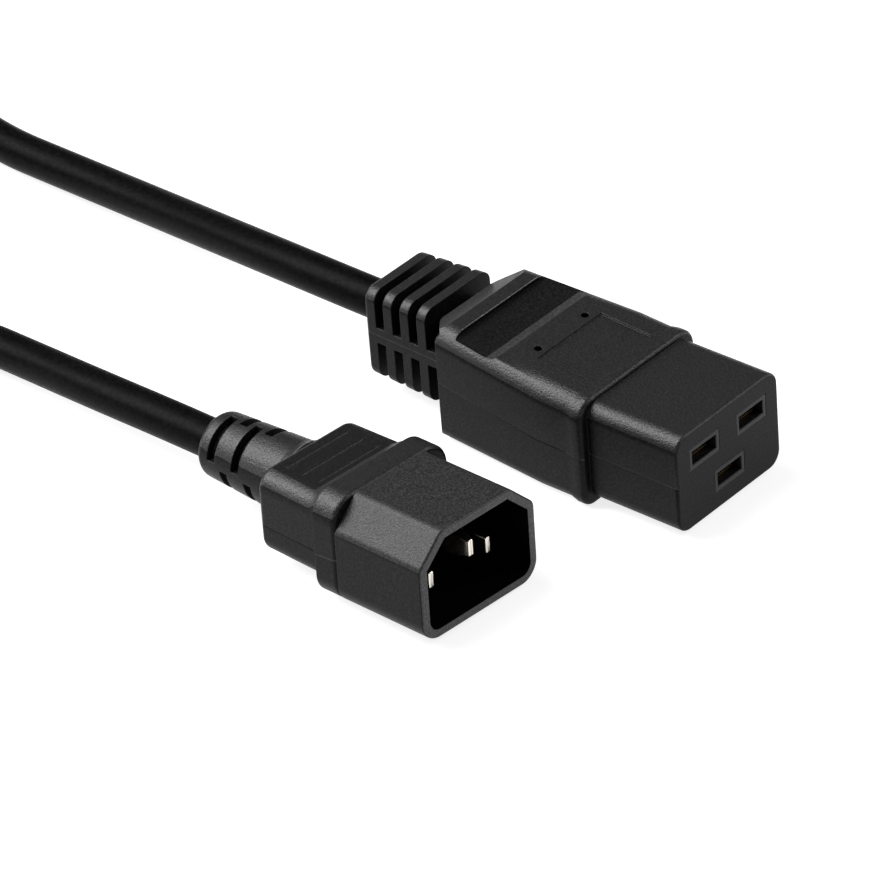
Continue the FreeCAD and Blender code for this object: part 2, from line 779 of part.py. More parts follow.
# Plug, in its own frame: x = 0 at the shroud's rim, z = 0 at the middle of its height
FLANGE_FRONT = "Sizes.shroud_length"
FLANGE_REAR = "(Sizes.shroud_length + Sizes.flange_length)"
GRIP_REAR = "(Sizes.shroud_length + Sizes.flange_length + Sizes.grip_length)"
PLUG_REAR = "(Sizes.shroud_length + Sizes.flange_length + Sizes.grip_length + Sizes.sleeve_relief_length)"
BLADES = (("line", -1, "blade_setback"), ("neutral", 1, "blade_setback"), ("earth", 0, "earth_setback"))


def chamfered_corners(inset):
    """The shroud's outline, with two chamfered top corners, moved inwards by an expression."""
    half = "(Sizes.shroud_width / 2 - %s)" % inset
    high = "(Sizes.shroud_height / 2 - %s)" % inset
    across = "(Sizes.shroud_width / 2 - Sizes.shroud_chamfer_width - %s * 0.4)" % inset
    up = "(Sizes.shroud_height / 2 - Sizes.shroud_chamfer_height - %s * 0.4)" % inset
    return [("-" + half, "-" + high), (half, "-" + high), (half, up), (across, high),
            ("-" + across, high), ("-" + half, up)]


def build_shroud_blank():
    """Outside of the hard shroud: chamfered tube in front, a narrower root behind it."""
    body = new_body("shroud_blank")
    outline = new_sketch(body, "YZ_Plane", "ShroudOutline")
    add_outline(outline, chamfered_corners("0"))
    pad(body, outline, "Sizes.shroud_length", backwards=True)
    low = size("shroud_height") / 2
    round_edges(body, cell("shroud_corner"), lambda edge: (
        is_close(abs(direction_of(edge).x), 1) and is_close(middle_of(edge).z, -low)), "ShroudBottomRound")
    round_edges(body, cell("shroud_edge"), lambda edge: (
        is_close(abs(direction_of(edge).x), 1) and middle_of(edge).z > 0), "ShroudTopRound")
    round_edges(body, cell("shroud_rim_round"), lambda edge: is_end_edge(edge, 0), "ShroudRimRound")
    root = new_sketch(body, "YZ_Plane", "Root", offset="-" + FLANGE_FRONT)
    add_rectangle(root, "-(Sizes.root_width / 2)", "Sizes.root_width / 2",
                  "-(Sizes.root_height / 2)", "Sizes.root_height / 2")
    pad(body, root, cell("root_length"), backwards=True)
    return body


def build_cavity():
    """The hollow of the shroud around the blades."""
    body = new_body("shroud_cavity")
    outline = new_sketch(body, "YZ_Plane", "CavityOutline")
    add_outline(outline, chamfered_corners(cell("shroud_wall")))
    pad(body, outline, "Sizes.shroud_length - Sizes.shroud_floor", backwards=True)
    low = size("shroud_height") / 2 - size("shroud_wall")
    round_edges(body, "Sizes.shroud_corner - Sizes.shroud_wall", lambda edge: (
        is_close(abs(direction_of(edge).x), 1) and is_close(middle_of(edge).z, -low)), "CavityRound")
    return body


def blade_rear():
    """Distance behind the rim of the blades' flat part."""
    return size("shroud_length") + size("root_length")


def build_blade(name, side, setback, placement):
    """A flat blade with a bevelled tip and a crimp barrel at its root."""
    body = new_body("plug_blade_" + name)
    flat = new_sketch(body, "YZ_Plane", "Flat", offset="-" + cell(setback))
    add_rectangle(flat, "-(Sizes.blade_thickness / 2)", "Sizes.blade_thickness / 2",
                  "-(Sizes.blade_height / 2)", "Sizes.blade_height / 2")
    pad(body, flat, "Sizes.shroud_length + Sizes.root_length - Sizes.%s" % setback, backwards=True)
    tip = size(setback)
    last = body.Tip
    names = ["Edge%d" % index for index, edge in enumerate(last.Shape.Edges, start=1) if is_end_edge(edge, tip)]
    bevel = body.newObject("PartDesign::Chamfer", "TipBevel")
    bevel.Base = (last, names)
    bevel.setExpression("Size", cell("blade_tip_bevel"))
    doc.recompute()
    root = "(Sizes.shroud_length + Sizes.root_length)"
    barrel = new_sketch(body, "YZ_Plane", "Barrel", offset="-" + root)
    add_circle(barrel, "0", "0", cell("barrel_diameter"))
    pad(body, barrel, cell("barrel_length"), backwards=True)
    mouth = new_sketch(body, "YZ_Plane", "Mouth", offset="-(%s + Sizes.barrel_length)" % root)
    add_circle(mouth, "0", "0", cell("strand_diameter"))
    pocket(body, mouth, cell("crimp_depth"), backwards=True)
    across, up = blade_centre(side)
    body.Placement = placement.multiply(Placement(Vector(0, across, up), Rotation()))
    return body


def blade_centre(side):
    across = side * size("blade_spacing") / 2
    up = -size("blade_row_height")
    if side == 0:
        up += size("blade_row_spacing")
    return across, up


def build_plug_blank():
    """The plug's soft moulding as one solid: flange, grip and slotted strain relief."""
    body = new_body("plug_blank")
    top = "(Sizes.shroud_height / 2 + Sizes.flange_overlap)"
    foot = "(Sizes.shroud_height / 2 + Sizes.flange_foot)"
    wide = "(Sizes.shroud_width + 2 * Sizes.flange_overlap)"
    flange = new_sketch(body, "YZ_Plane", "Flange", offset="-" + FLANGE_FRONT)
    add_rectangle(flange, "-(%s / 2)" % wide, "%s / 2" % wide, "-" + foot, top)
    pad(body, flange, cell("flange_length"), backwards=True)
    for part, radius, sign in (("Top", "flange_top_corner", 1), ("Bottom", "flange_bottom_corner", -1)):
        round_edges(body, cell(radius), lambda edge, sign=sign: (
            is_close(abs(direction_of(edge).x), 1) and middle_of(edge).z * sign > 0), "Flange" + part + "Round")
    front = size("shroud_length")
    round_edges(body, cell("flange_edge"), lambda edge: is_close(middle_of(edge).x, -front), "FlangeFrontRound")
    add_grip(body)
    add_round_relief(body)
    return body


def add_grip(body):
    """The grip behind the flange, with a ramp up to it and three fine lines across its top."""
    grip = doc.addObject("PartDesign::Body", "grip_tool")
    side = new_sketch(grip, "XZ_Plane", "GripSide")
    inside = "(Sizes.shroud_length + Sizes.flange_length / 2)"
    ramp_top = "(Sizes.grip_top + Sizes.grip_ramp_rise)"
    add_outline(side, [
        ("-" + inside, "-" + cell("grip_bottom")),
        ("-" + inside, ramp_top),
        ("-" + FLANGE_REAR, ramp_top),
        ("-(%s + Sizes.grip_ramp)" % FLANGE_REAR, cell("grip_top")),
        ("-" + GRIP_REAR, cell("grip_top")),
        ("-" + GRIP_REAR, "-" + cell("grip_bottom")),
    ])
    pad(grip, side, cell("grip_front_width"), midplane=True)
    plan = new_sketch(grip, "XY_Plane", "GripPlan")
    for sign in ("", "-"):
        add_outline(plan, [
            ("-" + FLANGE_REAR, sign + "(Sizes.grip_front_width / 2)"),
            ("-" + GRIP_REAR, sign + "(Sizes.grip_rear_width / 2)"),
            ("-" + GRIP_REAR, sign + "Sizes.grip_front_width"),
            ("-" + FLANGE_REAR, sign + "Sizes.grip_front_width"),
        ])
    pocket(grip, plan, "Sizes.shroud_height * 2", midplane=True)
    round_edges(grip, cell("grip_top_corner"), is_top_side_edge, "GripTopRound")
    round_edges(grip, cell("grip_bottom_corner"), is_bottom_side_edge, "GripBottomRound")
    behind = evaluate(GRIP_REAR)
    round_edges(grip, cell("grip_rear_edge"), lambda edge: is_end_edge(edge, behind), "GripRearRound")
    line = new_sketch(grip, "XZ_Plane", "GripLine")
    rear = "(%s - Sizes.line_start)" % GRIP_REAR
    front = "(%s - Sizes.line_breadth)" % rear
    add_outline(line, [
        ("-" + rear, "Sizes.grip_top - Sizes.line_depth"),
        ("-" + front, "Sizes.grip_top - Sizes.line_depth"),
        ("-" + front, "Sizes.grip_top + Sizes.line_depth"),
        ("-" + rear, "Sizes.grip_top + Sizes.line_depth"),
    ])
    first = pocket(grip, line, cell("line_length"), midplane=True)
    repeat_along_x(grip, "GripLines", [first], cell("line_pitch"), cell("line_count"), backwards=False)
    join = body.newObject("PartDesign::Boolean", "JoinGrip")
    join.Type = "Fuse"
    join.setObjects([grip])
    doc.recompute()


def add_round_relief(body):
    """The round strain relief with staggered quarter-ring slots that let it bend."""
    profile = new_sketch(body, "XZ_Plane", "SleeveProfile")
    root = "(%s - Sizes.grip_rear_edge * 2)" % GRIP_REAR
    tip = "(Sizes.sleeve_tip_diameter / 2)"
    add_outline(profile, [
        ("-" + root, "0"),
        ("-" + root, "Sizes.sleeve_root_diameter / 2"),
        ("-" + PLUG_REAR, tip),
        ("-" + PLUG_REAR, "0"),
    ])
    cone = body.newObject("PartDesign::Revolution", "Sleeve")
    cone.Profile = profile
    cone.ReferenceAxis = (profile, ["H_Axis"])
    cone.Angle = 360
    doc.recompute()
    behind = evaluate(PLUG_REAR)
    round_edges(body, cell("sleeve_tip_round"), lambda edge: is_end_edge(edge, behind), "SleeveTipRound")
    grooves = []
    lean = size("ring_slot_lean_angle")
    quarters = ((lean, "0"), (-lean, "Sizes.ring_slot_stagger"),
                (180 - lean, "Sizes.ring_slot_stagger"), (180 + lean, "0"))
    for index, (turn, shift) in enumerate(quarters):
        name = "RingSlot%d" % index
        sketch = new_sketch(body, "XZ_Plane", name, turn=turn)
        near = "(%s - Sizes.ring_slot_first - %s)" % (PLUG_REAR, shift)
        far = "(%s - Sizes.ring_slot_width)" % near
        add_rectangle(sketch, "-" + near, "-" + far, "Sizes.ring_slot_floor / 2", cell("sleeve_root_diameter"))
        before = body.Shape.Volume
        groove = body.newObject("PartDesign::Groove", name + "Cut")
        groove.Profile = sketch
        groove.ReferenceAxis = (sketch, ["H_Axis"])
        groove.Midplane = True
        groove.setExpression("Angle", cell("ring_slot_angle"))
        doc.recompute()
        if not body.Shape.Volume < before:
            raise ValueError("groove cuts nothing: " + name)
        grooves.append(groove)
    repeat_along_x(body, "RingSlots", grooves, cell("ring_slot_pitch"), "2", backwards=False)


def plug_placement():
    """The plug lies on its flange, a little turned, tipped and rolled."""
    turned = Rotation(size("plug_yaw"), -size("plug_pitch"), size("plug_roll"))
    half = size("shroud_width") / 2 + size("flange_overlap") - size("flange_bottom_corner")
    low = -size("shroud_height") / 2 - size("flange_foot") + size("flange_bottom_corner")
    lowest = 0
    for x in (-size("shroud_length"), -evaluate(FLANGE_REAR)):
        for y in (-half, half):
            lowest = min(lowest, turned.multVec(Vector(x, y, low)).z)
    height = size("flange_bottom_corner") - lowest
    return Placement(Vector(size("plug_forward"), size("plug_aside"), height), turned)


def build_plug():
    placement = plug_placement()
    blank = build_plug_blank()
    outside = build_shroud_blank()
    cavity = build_cavity()
    for body in (blank, outside, cavity):
        body.Placement = placement
    blades = [build_blade(name, side, setback, placement) for name, side, setback in BLADES]
    shroud = cut_out("plug_shroud", outside, [cavity] + blades)
    ends = [(name,) + blade_centre(side) for name, side, setback in BLADES]
    ends = [ends[2], ends[0], ends[1]]
    crimp = blade_rear() + size("barrel_length")
    jacket_end = evaluate(PLUG_REAR) - size("plug_jacket_grip")
    reach = size("plug_core_straight")
    strands, cores = build_cores("plug", ends, crimp, jacket_end, reach, 0, placement, 1)
    bore = jacket_bore("plug_bore", evaluate(PLUG_REAR), cell("plug_jacket_grip"), 0, placement)
    overmould = cut_out("plug_overmould", blank, [outside, bore] + blades + strands + cores)
    return [overmould, shroud] + blades + strands + cores


def route_in(placement, points):
    return [placement.multVec(Vector(*point)) for point in points]


# The cord's route, chosen by hand, from the socket's relief to the coil and from the plug to the coil
SOCKET_ROUTE = [
    (-64.0, 1.4, 12.6),
    (-86.0, 5.1, 9.6),
    (-108.0, 9.3, 6.2),
    (-130.0, 11.9, 4.2),
    (-152.0, 12.7, 3.8),
    (-178.0, 20.0, 4.65),
]
PLUG_ROUTE = [
    (-70.0, -44.4, 7.9),
    (-88.0, -41.6, 5.4),
    (-106.0, -40.0, 4.0),
    (-128.0, -46.5, 3.8),
    (-150.0, -62.0, 6.5),
    (-173.0, -76.0, 12.15),
]
COIL_CENTRE = Vector(-size("coil_behind"), -size("coil_aside"), 0)


def build_coil():
    """Outer shape of the put-away coil, with the two short straight ends that leave it."""
    cord = size("cord_diameter")
    columns = size("coil_column_count")
    layers = size("coil_layer_count")
    middle = size("coil_middle_radius")
    inner = middle - columns * cord / 2
    outer = middle + columns * cord / 2
    lift = size("tie_thickness")
    tall = layers * cord
    ring = Part.makeCylinder(outer, tall).cut(Part.makeCylinder(inner, tall))
    rims = [edge for edge in ring.Edges if edge.Closed]
    ring = ring.makeFillet(size("coil_corner"), rims)
    ring.translate(COIL_CENTRE.add(Vector(0, 0, lift)))
    turn = outer - cord / 2
    for side, level in ((1, cord / 2), (-1, tall - cord / 2)):
        spot = COIL_CENTRE.add(Vector(0, side * turn, lift + level))
        stub = Part.makeCylinder(cord / 2, size("coil_stub"), spot, Vector(1, 0, 0))
        ring = ring.fuse(stub)
    return new_solid("cord_coil", ring.removeSplitter())


def rounded_frame(inner, outer, low, high, corner):
    """A closed wire round the coil's cross-section, standing in the plane y = 0."""
    box = Part.makeBox(outer - inner, 2, high - low, Vector(inner, -1, low))
    edges = [edge for edge in box.Edges if is_close(abs(direction_of(edge).y), 1)]
    block = box.makeFillet(corner, edges)
    middle = block.slice(Vector(0, 1, 0), 0)
    return middle[0]


def build_tie(label, angle):
    """A soft band round the coil's turns, bent to follow them."""
    cord = size("cord_diameter")
    gap = size("tie_clearance")
    thick = size("tie_thickness")
    corner = size("coil_corner")
    inner = size("coil_middle_radius") - size("coil_column_count") * cord / 2 - gap
    outer = size("coil_middle_radius") + size("coil_column_count") * cord / 2 + gap
    high = thick + size("coil_layer_count") * cord + gap
    hole = rounded_frame(inner, outer, thick, high, corner)
    rim = rounded_frame(inner - thick, outer + thick, 0, high + thick, corner + thick)
    spread = math.degrees(size("tie_width") / size("coil_middle_radius"))
    sweeps = []
    for wire in (rim, hole):
        face = Part.Face(wire)
        face.rotate(Vector(), Vector(0, 0, 1), -spread / 2)
        sweeps.append(face.revolve(Vector(), Vector(0, 0, 1), spread))
    band = sweeps[0].cut(sweeps[1])
    return new_solid(label, band, Placement(COIL_CENTRE, Rotation(Vector(0, 0, 1), angle)))


def build_lead(label, jacket_end, exit_point, points, coil_side):
    """One uncoiled stretch of the cord, from inside its strain relief to the coil's straight end."""
    cord = size("cord_diameter")
    turn = size("coil_middle_radius") + (size("coil_column_count") - 1) * cord / 2
    level = size("tie_thickness") + cord / 2
    if coil_side < 0:
        level += (size("coil_layer_count") - 1) * cord
    end = COIL_CENTRE.add(Vector(size("coil_stub"), coil_side * turn, level))
    route = [jacket_end, exit_point] + [Vector(*point) for point in points] + [end]
    radii = []
    shape, length = tube_along(route, cord / 2, radii)
    print(label, "length %.1f" % length, "turns and radii",
          ["%.0f deg %.0f mm" % pair for pair in radii])
    return new_solid(label, shape), length


def build_cord():
    socket = socket_placement()
    behind = evaluate(RELIEF_REAR)
    level = size("jacket_axis")
    grip = size("socket_jacket_grip")
    start, leave = route_in(socket, [(grip - behind, 0, level), (-behind - size("exit_straight"), 0, level)])
    socket_lead, first = build_lead("cord_socket_lead", start, leave, SOCKET_ROUTE, 1)
    plug = plug_placement()
    behind = evaluate(PLUG_REAR)
    grip = size("plug_jacket_grip")
    start, leave = route_in(plug, [(grip - behind, 0, 0), (-behind - size("exit_straight"), 0, 0)])
    plug_lead, last = build_lead("cord_plug_lead", start, leave, PLUG_ROUTE, -1)
    coil = build_coil()
    turns = size("coil_column_count") * size("coil_layer_count") - 0.5
    wound = turns * 2 * math.pi * size("coil_middle_radius") + 2 * size("coil_stub")
    print("whole cord about %.0f mm" % (first + last + wound))
    ties = [build_tie("coil_tie_near", 10), build_tie("coil_tie_far", 190)]
    return [socket_lead, coil, plug_lead] + ties


def check_document():
    doc.recompute()
    for item in doc.Objects:
        if "Invalid" in item.State or "Error" in item.State:
            raise ValueError("failed object: " + item.Label)


def write_nodes(nodes):
    os.makedirs("parts", exist_ok=True)
    for node in nodes:
        shape = node.Shape
        if shape.isNull() or not shape.isValid() or shape.Volume <= 0:
            raise ValueError("bad shape: " + node.Label)
        print("%-26s solids %d  volume %9.1f" % (node.Label, len(shape.Solids), shape.Volume))
        shape.exportStep("parts/%s.step" % node.Label)


nodes = build_socket() + build_plug() + build_cord()
check_document()
write_nodes(nodes)
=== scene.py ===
import bmesh
import bpy
import json
import math
from mathutils import Matrix, Vector


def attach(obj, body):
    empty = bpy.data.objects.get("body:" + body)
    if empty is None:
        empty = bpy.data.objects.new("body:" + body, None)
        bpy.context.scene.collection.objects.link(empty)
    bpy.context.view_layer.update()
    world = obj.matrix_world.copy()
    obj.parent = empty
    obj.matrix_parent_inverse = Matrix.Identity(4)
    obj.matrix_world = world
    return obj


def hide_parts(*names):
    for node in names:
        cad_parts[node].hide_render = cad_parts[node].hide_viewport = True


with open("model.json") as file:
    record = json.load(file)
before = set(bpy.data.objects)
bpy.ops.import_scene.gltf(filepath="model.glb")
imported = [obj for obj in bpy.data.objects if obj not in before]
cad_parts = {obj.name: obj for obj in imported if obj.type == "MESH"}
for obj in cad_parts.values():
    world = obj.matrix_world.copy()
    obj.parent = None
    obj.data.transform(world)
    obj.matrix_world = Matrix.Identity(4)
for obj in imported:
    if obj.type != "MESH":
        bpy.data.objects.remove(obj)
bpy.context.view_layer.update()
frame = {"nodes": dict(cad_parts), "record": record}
MM = 0.001

# Camera
camera_data = bpy.data.cameras.new("Camera")
camera = bpy.data.objects.new("Camera", camera_data)
bpy.context.scene.collection.objects.link(camera)
bpy.context.scene.camera = camera
camera_data.sensor_width = 36.0
camera_data.lens = 248.3
camera_data.shift_x = 0.0060
camera_data.shift_y = -0.0042
camera_data.clip_start = 0.05
camera_data.clip_end = 20.0


def aim_camera(azimuth, elevation, roll, distance, offset_right, offset_up, target):
    """Places the camera round the socket's face, by the angles read from the photograph."""
    az, el, ro = math.radians(azimuth), math.radians(elevation), math.radians(roll)
    back = Vector((math.sin(az) * math.cos(el), -math.cos(az) * math.cos(el), math.sin(el)))
    level_right = Vector((math.cos(az), math.sin(az), 0))
    level_up = back.cross(level_right)
    right = math.cos(ro) * level_right + math.sin(ro) * level_up
    up = -math.sin(ro) * level_right + math.cos(ro) * level_up
    spot = target - offset_right * right - offset_up * up + distance * back
    turned = Matrix((right, up, back)).transposed()
    camera.matrix_world = Matrix.Translation(spot) @ turned.to_4x4()


aim_camera(azimuth=42.98, elevation=33.6, roll=-4.76, distance=1.03128,
           offset_right=0.05137, offset_up=-0.00351, target=Vector((0.0375, 0, 0.011025)))

# Cord: its route in millimetres, from inside the socket, round the coil and into the plug
CORD_DIAMETER = 7.5
SOCKET_END = [(-20.5, 0.0, 13.475), (-43.5, 0.0, 13.475)]
SOCKET_ROUTE = [
    (-64.0, 1.4, 12.6),
    (-86.0, 5.1, 9.6),
    (-108.0, 9.3, 6.2),
    (-130.0, 11.9, 4.2),
    (-152.0, 12.7, 3.8),
    (-178.0, 20.0, 4.65),
    (-200.0, 20.0, 4.65),
]
PLUG_ROUTE = [
    (-70.0, -44.4, 7.9),
    (-88.0, -41.6, 5.4),
    (-106.0, -40.0, 4.0),
    (-128.0, -46.5, 3.8),
    (-150.0, -62.0, 6.5),
    (-173.0, -76.0, 12.15),
    (-200.0, -76.0, 12.15),
]
PLUG_END = [(-68.0, 0, 0), (-50.0, 0, 0)]  # in the plug's own frame
COIL_CENTRE = (-231.0, -28.0)
COIL_COLUMNS = (48.0, 40.5, 33.0)
COIL_LEVELS = (4.65, 12.15)
COIL_TURNS = 5.5
COLUMN_STEPS = (0.75, 1.75)  # turns after which the cord steps in by a column
COLUMN_STEP_TURN = 0.25
LEVEL_STEP_TURN = 0.4
POINTS_PER_TURN = 24

# where the plug lies: its rim's middle, and how it is turned
PLUG_SPOT = Vector((23.15, -49.85, 11.256))
PLUG_TURN = (Matrix.Rotation(math.radians(-2.96), 4, "Z")
             @ Matrix.Rotation(math.radians(-1.26), 4, "Y")
             @ Matrix.Rotation(math.radians(-2.17), 4, "X"))


def in_plug(spot):
    """A point of the plug's own frame, in the row's frame, in millimetres."""
    return tuple(PLUG_TURN @ Vector(spot) + PLUG_SPOT)


def smooth_step(value):
    value = min(max(value, 0.0), 1.0)
    return value * value * (3 - 2 * value)


def coil_radius(turned):
    """Radius after some turns from the coil's outer end: a column in at a time."""
    outer, middle, inner = COIL_COLUMNS
    first, second = [smooth_step((turned - start) / COLUMN_STEP_TURN) for start in COLUMN_STEPS]
    return outer + (middle - outer) * first + (inner - middle) * second


def coil_points():
    """The coil's turns: in along the lower layer, up, and out along the upper one."""
    points = []
    low, high = COIL_LEVELS
    for step in range(int(COIL_TURNS * POINTS_PER_TURN) + 1):
        turned = step / POINTS_PER_TURN
        radius = coil_radius(min(turned, COIL_TURNS - turned))
        rise = smooth_step((turned - (COIL_TURNS - LEVEL_STEP_TURN) / 2) / LEVEL_STEP_TURN)
        angle = math.pi / 2 + 2 * math.pi * turned
        points.append((COIL_CENTRE[0] + radius * math.cos(angle),
                       COIL_CENTRE[1] + radius * math.sin(angle),
                       low + (high - low) * rise))
    return points


def make_cord():
    """The whole cord as one smooth curve from inside the socket to inside the plug."""
    plug_end = [in_plug(spot) for spot in PLUG_END]
    route = SOCKET_END + SOCKET_ROUTE + coil_points() + PLUG_ROUTE[::-1] + plug_end
    curve = bpy.data.curves.new("cord", "CURVE")
    curve.dimensions = "3D"
    line = curve.splines.new("NURBS")
    line.points.add(len(route) - 1)
    for point, spot in zip(line.points, route):
        point.co = (spot[0] * MM, spot[1] * MM, spot[2] * MM, 1)
        point.radius = CORD_DIAMETER / 2 * MM
    line.order_u = 3
    line.use_endpoint_u = True
    line.resolution_u = 8
    curve.bevel_depth = 1.0
    curve.bevel_resolution = 6
    curve.use_fill_caps = True
    cord = bpy.data.objects.new("cord", curve)
    bpy.context.scene.collection.objects.link(cord)
    return cord


cord = make_cord()


# Materials
def new_material(name, colour, roughness, metallic=0.0):
    material = bpy.data.materials.new(name)
    material.use_nodes = True
    shader = material.node_tree.nodes["Principled BSDF"]
    shader.inputs["Base Color"].default_value = (*colour, 1)
    shader.inputs["Roughness"].default_value = roughness
    shader.inputs["Metallic"].default_value = metallic
    return material, material.node_tree, shader


def add_noise(tree, scale, detail=2.0, roughness=0.5):
    """A noise that sits in the piece itself."""
    place = tree.nodes.new("ShaderNodeTexCoord")
    noise = tree.nodes.new("ShaderNodeTexNoise")
    noise.inputs["Scale"].default_value = scale
    noise.inputs["Detail"].default_value = detail
    noise.inputs["Roughness"].default_value = roughness
    tree.links.new(place.outputs["Object"], noise.inputs["Vector"])
    return noise


def add_range(tree, source, low, high, start=0.0, end=1.0):
    """Maps a value that runs from start to end onto one that runs from low to high."""
    spread = tree.nodes.new("ShaderNodeMapRange")
    spread.inputs["From Min"].default_value = start
    spread.inputs["From Max"].default_value = end
    spread.inputs["To Min"].default_value = low
    spread.inputs["To Max"].default_value = high
    tree.links.new(source, spread.inputs["Value"])
    return spread


def spark_grain(tree, shader, grain, depth, edge, sides=0.25):
    """Fine pits as a spark-eroded mould leaves them, deeper on faces that look up, and worn edges."""
    pits = add_noise(tree, 1 / grain, roughness=0.55)
    soft = tree.nodes.new("ShaderNodeBevel")
    soft.samples = 6
    soft.inputs["Radius"].default_value = edge
    facing = tree.nodes.new("ShaderNodeSeparateXYZ")
    tree.links.new(soft.outputs["Normal"], facing.inputs["Vector"])
    upward = add_range(tree, facing.outputs["Z"], sides, 1.0, 0.05, 0.5)
    bump = tree.nodes.new("ShaderNodeBump")
    bump.inputs["Distance"].default_value = depth
    tree.links.new(upward.outputs["Result"], bump.inputs["Strength"])
    tree.links.new(pits.outputs["Fac"], bump.inputs["Height"])
    tree.links.new(soft.outputs["Normal"], bump.inputs["Normal"])
    tree.links.new(bump.outputs["Normal"], shader.inputs["Normal"])
    roughness = shader.inputs["Roughness"].default_value
    spread = add_range(tree, pits.outputs["Fac"], roughness - 0.05, roughness + 0.05, 0.35, 0.65)
    tree.links.new(spread.outputs["Result"], shader.inputs["Roughness"])
    speckle(tree, shader, grain)


def speckle(tree, shader, grain):
    """A faint unevenness in the black, of the grain's own size."""
    dots = add_noise(tree, 0.8 / grain, detail=1.0)
    ramp = tree.nodes.new("ShaderNodeValToRGB")
    red, green, blue = shader.inputs["Base Color"].default_value[:3]
    darkest, lightest = ramp.color_ramp.elements
    for stop, position, share in ((darkest, 0.4, 0.55), (lightest, 0.68, 2.2)):
        stop.position = position
        stop.color = (red * share, green * share, blue * share, 1)
    tree.links.new(dots.outputs["Fac"], ramp.inputs["Fac"])
    tree.links.new(ramp.outputs["Color"], shader.inputs["Base Color"])


def make_grained(name, colour, roughness, level, grain, depth, edge, sides=0.25):
    """Moulded plastic with spark grain; grain, depth and edge are in metres."""
    material, tree, shader = new_material(name, colour, roughness)
    shader.inputs["Specular IOR Level"].default_value = level
    spark_grain(tree, shader, grain, depth, edge, sides)
    return material


def make_smooth(name, colour, roughness, level):
    """Plastic from a finely ground mould: a faint waviness and hardly any grain."""
    return make_grained(name, colour, roughness, level, 0.0003, 0.00001, 0.00025, sides=1.0)


def make_plain(name, colour, roughness, metallic=0.0):
    """A plain finish whose gloss varies a little."""
    material, tree, shader = new_material(name, colour, roughness, metallic)
    noise = add_noise(tree, 900)
    spread = add_range(tree, noise.outputs["Fac"], max(roughness - 0.05, 0.02), roughness + 0.05)
    tree.links.new(spread.outputs["Result"], shader.inputs["Roughness"])
    return material


FINISHES = {
    "moulded_pvc": make_grained("moulded_pvc", (0.0055, 0.0055, 0.0058), 0.4, 0.5,
                                0.00033, 0.0001, 0.00035),
    # painted light: the shroud's top and chamfers get this lighter grey, while its sides get the
    # darker SHROUD_SIDE, as lit and shaded copies of one plastic
    "shroud_plastic": make_grained("shroud_plastic", (0.017, 0.017, 0.0175), 0.4, 0.32,
                                   0.00028, 0.00007, 0.0003),
    "cord_jacket": make_grained("cord_jacket", (0.0018, 0.0018, 0.0019), 0.42, 0.04,
                                0.0006, 0.000006, 0.0, sides=1.0),
    "carrier_plastic": make_smooth("carrier_plastic", (0.0065, 0.0065, 0.0068), 0.45, 0.3),
    "tie": make_plain("tie", (0.012, 0.012, 0.012), 0.55),
    # painted shade: the contacts' brass is darkened well below its own colour, so that they read as
    # shaded inside the slots
    "contact_brass": make_plain("contact_brass", (0.22, 0.16, 0.08), 0.5, 1.0),
    "nickel": make_plain("nickel", (0.72, 0.68, 0.62), 0.22, 1.0),
    "copper": make_plain("copper", (0.72, 0.33, 0.18), 0.35, 1.0),
    "core_brown": make_plain("core_brown", (0.09, 0.035, 0.015), 0.4),
    "core_blue": make_plain("core_blue", (0.02, 0.08, 0.3), 0.4),
    "core_green": make_plain("core_green", (0.05, 0.25, 0.03), 0.4),
}
# what single faces of a moulding get instead of its own finish
SIDE = make_smooth("moulded_pvc_side", (0.0055, 0.0055, 0.0058), 0.42, 0.1)
# painted reflection: a smooth copy of the moulding with a much lighter base colour, for the rear
# shoulder and the recess's ramp, standing in for the light these faces mirror
SHOULDER_PAINTED_REFLECTION = make_smooth("moulded_pvc_shoulder_painted_reflection", (0.02, 0.02, 0.0205), 0.45, 0.5)
# painted highlight: a much lighter copy of the moulding for the top of the thumb recess's rear wall
# and the walls of the grip's fine lines, standing in for the glints they catch
EDGE_PAINTED_HIGHLIGHT = make_smooth("moulded_pvc_edge_painted_highlight", (0.07, 0.07, 0.071), 0.4, 0.5)
GRIP_TOP = make_smooth("moulded_pvc_grip_top", (0.0045, 0.0045, 0.0048), 0.42, 0.25)
# the shroud's own dark tone on its sides; the lighter shroud_plastic on its top and chamfers is
# painted light
SHROUD_SIDE = make_smooth("shroud_side", (0.0065, 0.0065, 0.0068), 0.42, 0.1)
# painted shade: a near-black copy of the shroud's finish for the walls and floor inside its opening
SHROUD_INSIDE_PAINTED_SHADE = make_smooth("shroud_inside_painted_shade", (0.0015, 0.0015, 0.0016), 0.45, 0.05)
# painted highlight: a lighter copy of the shroud's finish for the front faces of its rim
SHROUD_RIM_PAINTED_HIGHLIGHT = make_smooth("shroud_rim_painted_highlight", (0.03, 0.03, 0.031), 0.42, 0.4)

for entry in frame["record"]["subparts"]:
    node = frame["nodes"][entry["node"]]
    node.data.materials.clear()
    node.data.materials.append(FINISHES[entry["material_slot"]])
cord.data.materials.append(FINISHES["cord_jacket"])

# Pieces: most start from their solid's surface, and all are shaped in millimetres
SMOOTH_ANGLE = 14.0
PARTING_DEPTH = 0.13
PARTING_HALF_WIDTH = 0.13


def joined_form(name):
    """The surface of a solid with its triangles joined up and its flat faces made whole."""
    form = bmesh.new()
    form.from_mesh(frame["nodes"][name].data)
    bmesh.ops.scale(form, vec=(1 / MM, 1 / MM, 1 / MM), verts=form.verts)
    bmesh.ops.remove_doubles(form, verts=form.verts, dist=0.002)
    bmesh.ops.dissolve_limit(form, angle_limit=math.radians(0.3), verts=form.verts, edges=form.edges)
    return form


